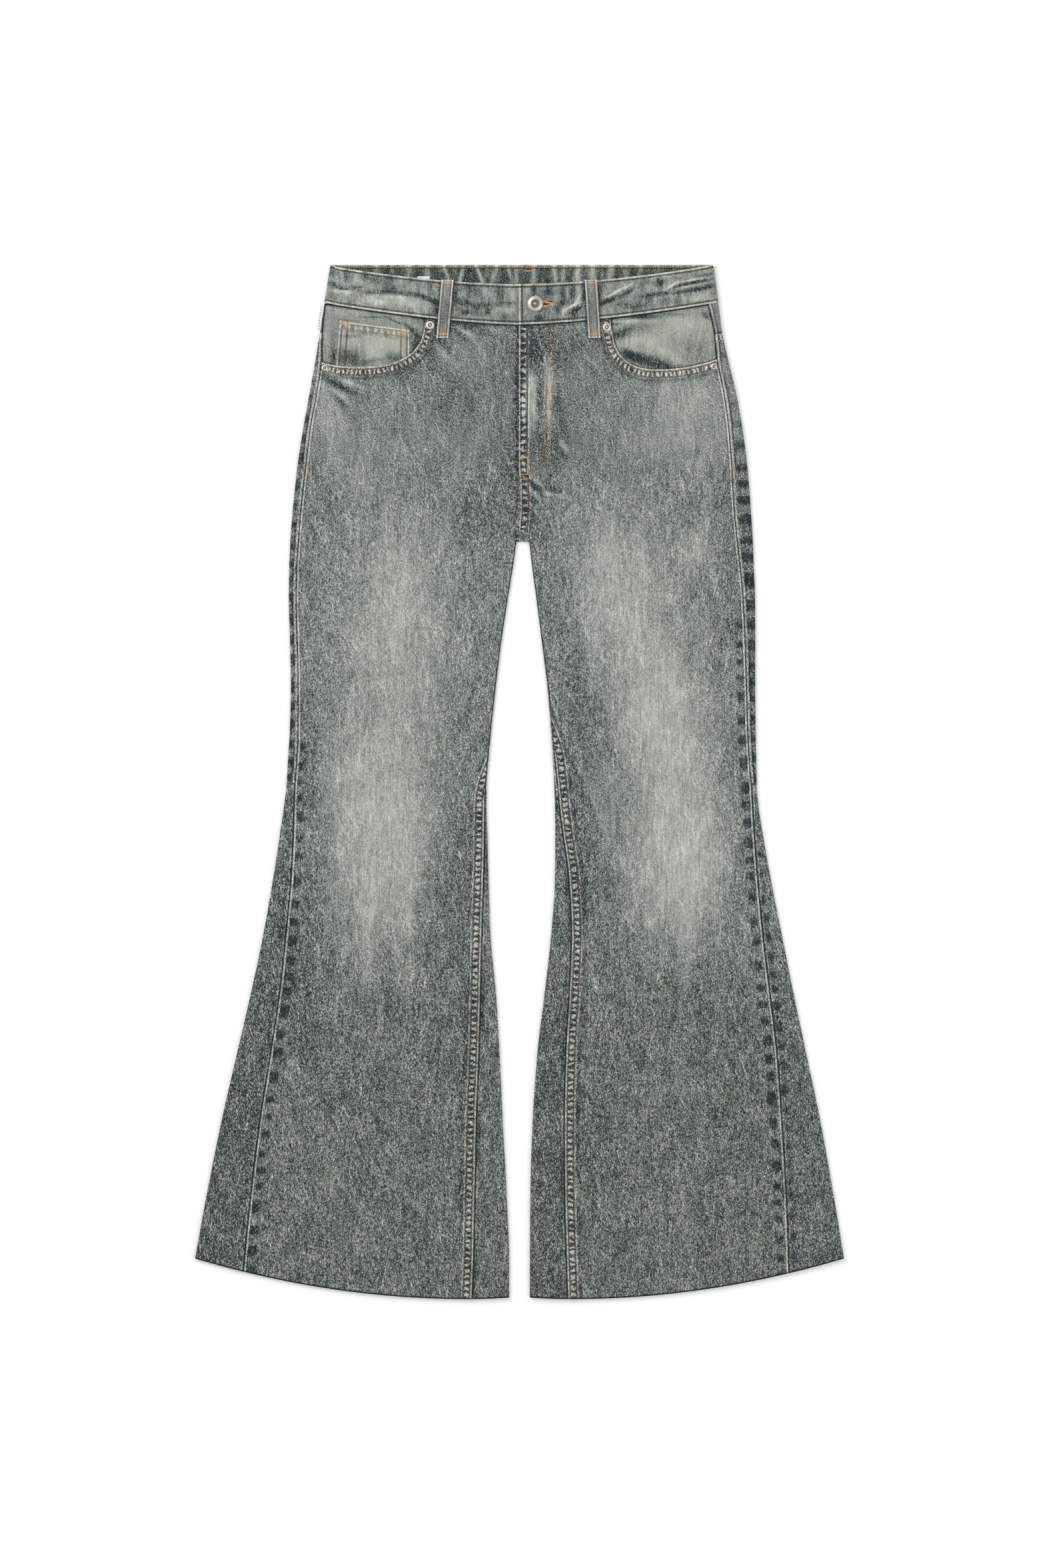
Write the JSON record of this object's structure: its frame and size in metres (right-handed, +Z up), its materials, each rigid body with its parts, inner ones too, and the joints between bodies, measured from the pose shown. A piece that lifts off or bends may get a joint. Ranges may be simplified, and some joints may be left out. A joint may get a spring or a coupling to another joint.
{
  "type": "flared jeans",
  "caption": "Faded denim flared jeans with let-in knee inserts, raw hems and a buttoned fly, laid out flat on their back.",
  "frame": {"origin": "middle of the outline, on the surface that the jeans lie on", "axes": "+Y from the hems to the waistband, +X towards the wearer's left, +Z up off the surface, out of the front"},
  "size_m": [0.6822, 1.0864, 0.0122],
  "materials": {
    "denim": "stonewashed grey-green denim, matt",
    "insert_denim": "less faded denim, matt",
    "thread": "twisted sewing thread, orange and brown",
    "zip_tape": "woven tape, matt",
    "label_cloth": "smooth white tape, blank",
    "metal": "worn nickel plate"
  },
  "bodies": {
    "root": {"front_right": "denim", "front_left": "denim", "back_right": "denim", "back_left": "denim", "yoke_right": "denim", "yoke_left": "denim", "insert_outer_right": "insert_denim", "insert_outer_left": "insert_denim", "insert_inner_right": "insert_denim", "insert_inner_left": "insert_denim", "waistband": "denim", "pocket_facing_right": "denim", "pocket_facing_left": "denim", "coin_pocket": "denim", "back_pocket_right": "denim", "back_pocket_left": "denim", "belt_loop_front_right": "denim", "belt_loop_front_left": "denim", "belt_loop_back_right": "denim", "belt_loop_back_centre": "denim", "belt_loop_back_left": "denim", "zip": "zip_tape", "label": "label_cloth", "button": "metal", "rivet_mouth_right": "metal", "rivet_mouth_left": "metal", "rivet_side_right": "metal", "rivet_side_left": "metal"}
  },
  "joints": []
}
